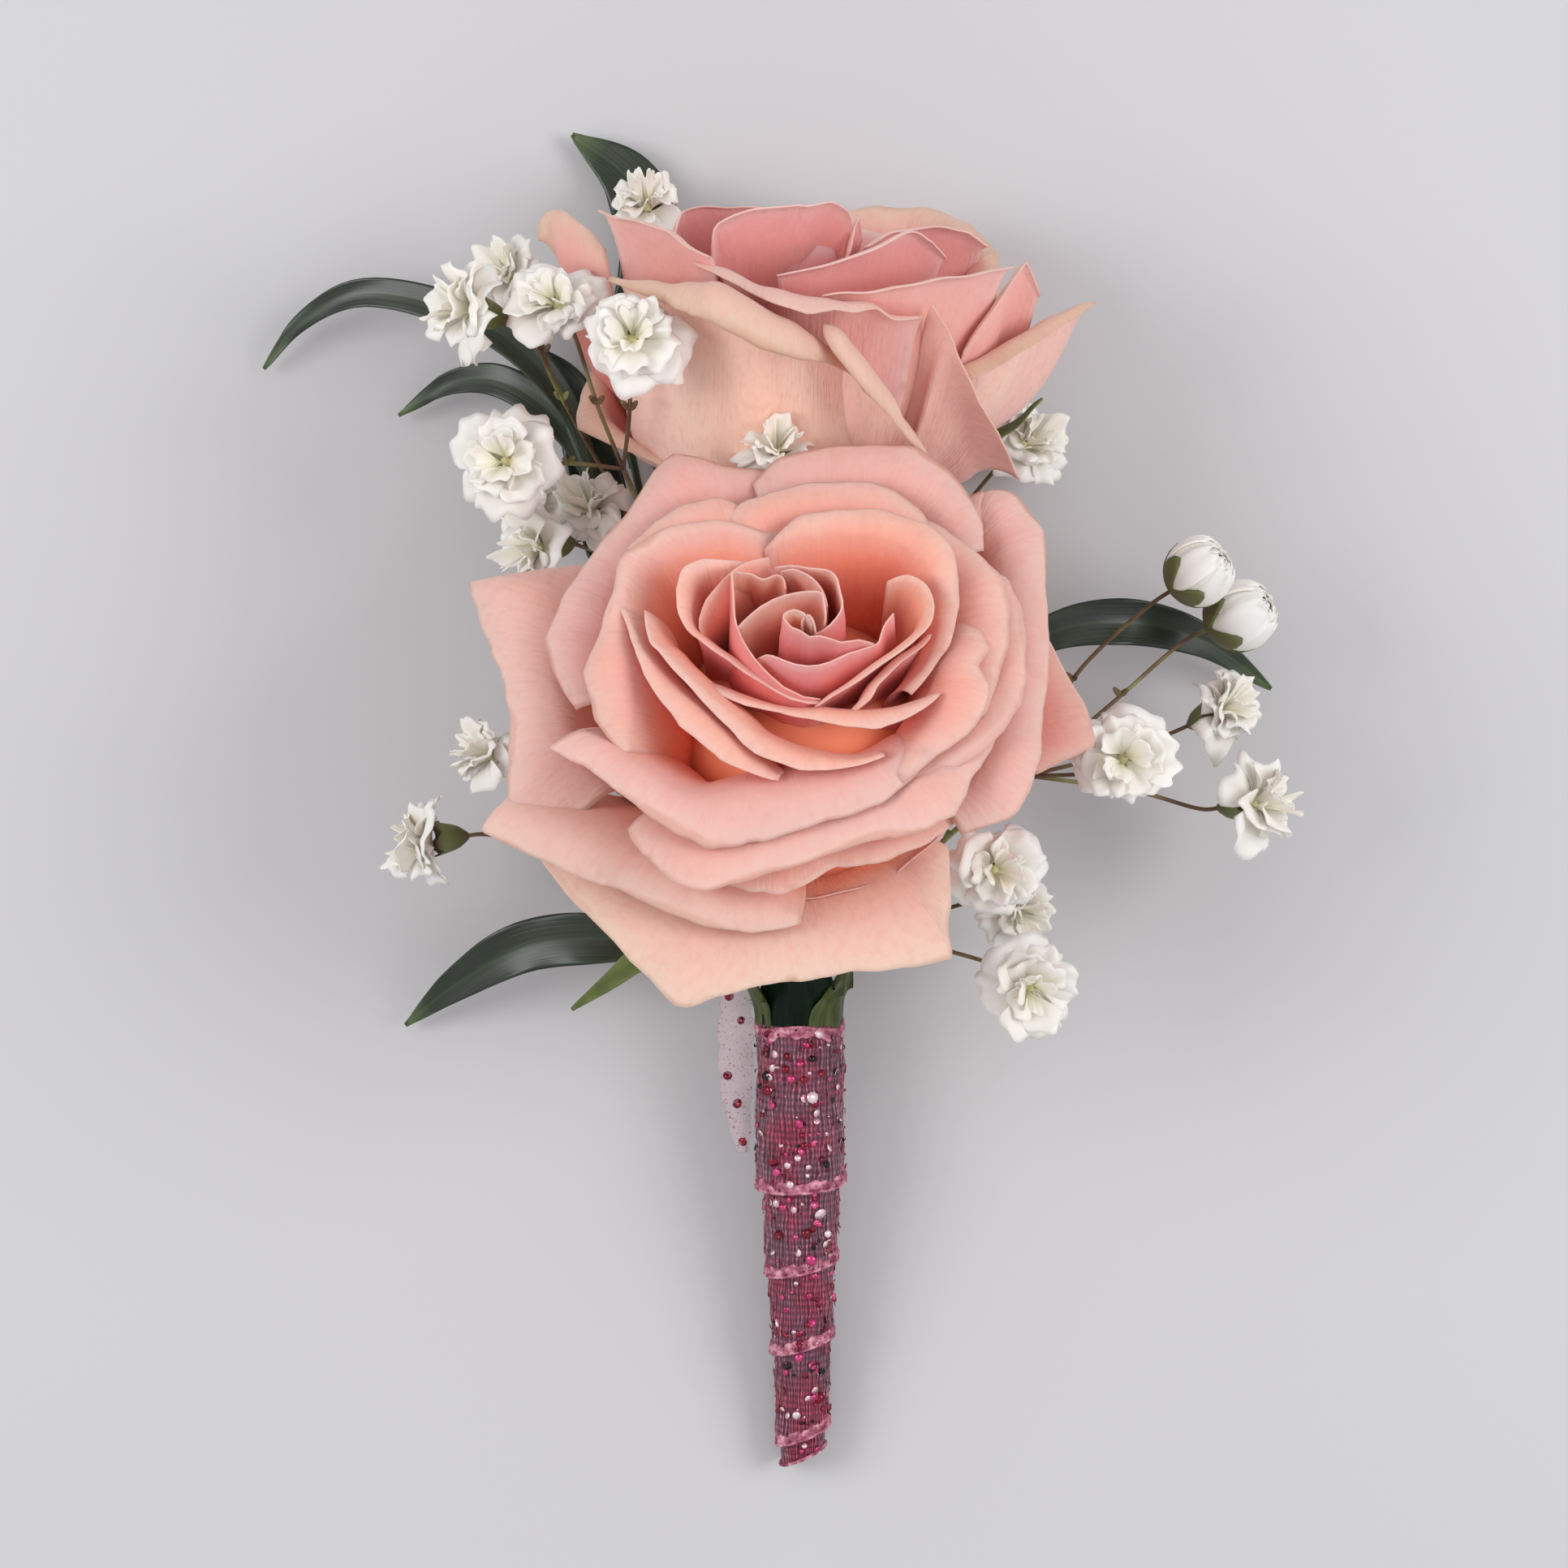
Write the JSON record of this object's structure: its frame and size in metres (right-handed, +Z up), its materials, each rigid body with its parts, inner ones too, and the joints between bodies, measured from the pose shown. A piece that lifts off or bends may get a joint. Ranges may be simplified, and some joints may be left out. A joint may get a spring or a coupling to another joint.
{
  "type": "boutonniere",
  "caption": "Boutonniere of peach roses, baby's breath and narrow dark leaves, its stems wrapped in sequined ribbon, lying flat.",
  "frame": {"origin": "on the surface it lies on, straight under the middle of the part's bounding box", "axes": "+Z up from the surface, +Y from the neck towards the roses, stems along -Y, +X to the right seen from above"},
  "size_m": [0.0876, 0.1148, 0.047],
  "materials": {
    "petals": "matte, soft",
    "florets": "matte",
    "stalks": "matte",
    "stems": "satin",
    "leaves": "glossy",
    "ribbon": "ribbed mesh with sequins",
    "tulle": "sheer net"
  },
  "bodies": {
    "root": {"rose_front_petals": "petals", "rose_rear_petals": "petals", "ribbon_wrap": "ribbon", "rose_front_stem": "stems", "rose_rear_stem": "stems", "gypsophila_bloom_01": "florets", "gypsophila_bloom_02": "florets", "gypsophila_bloom_03": "florets", "gypsophila_bloom_04": "florets", "gypsophila_bloom_05": "florets", "gypsophila_bloom_06": "florets", "gypsophila_bloom_07": "florets", "gypsophila_bloom_08": "florets", "gypsophila_bloom_09": "florets", "gypsophila_bloom_10": "florets", "gypsophila_bloom_11": "florets", "gypsophila_bloom_12": "florets", "gypsophila_bloom_13": "florets", "gypsophila_bloom_14": "florets", "gypsophila_bloom_15": "florets", "gypsophila_bloom_16": "florets", "gypsophila_bloom_17": "florets", "gypsophila_bloom_18": "florets", "gypsophila_bloom_19": "florets", "gypsophila_bloom_20": "florets", "gypsophila_bloom_21": "florets", "gypsophila_upper_left": "stalks", "gypsophila_rear": "stalks", "gypsophila_lower_left": "stalks", "gypsophila_right": "stalks", "ruscus_upper_left": "leaves", "ruscus_top": "leaves", "ruscus_right": "leaves", "ruscus_lower_left": "leaves", "neck_leaf_dark": "leaves", "neck_leaf_right": "stems", "neck_leaf_left": "stems", "tulle_flap": "tulle"}
  },
  "joints": []
}
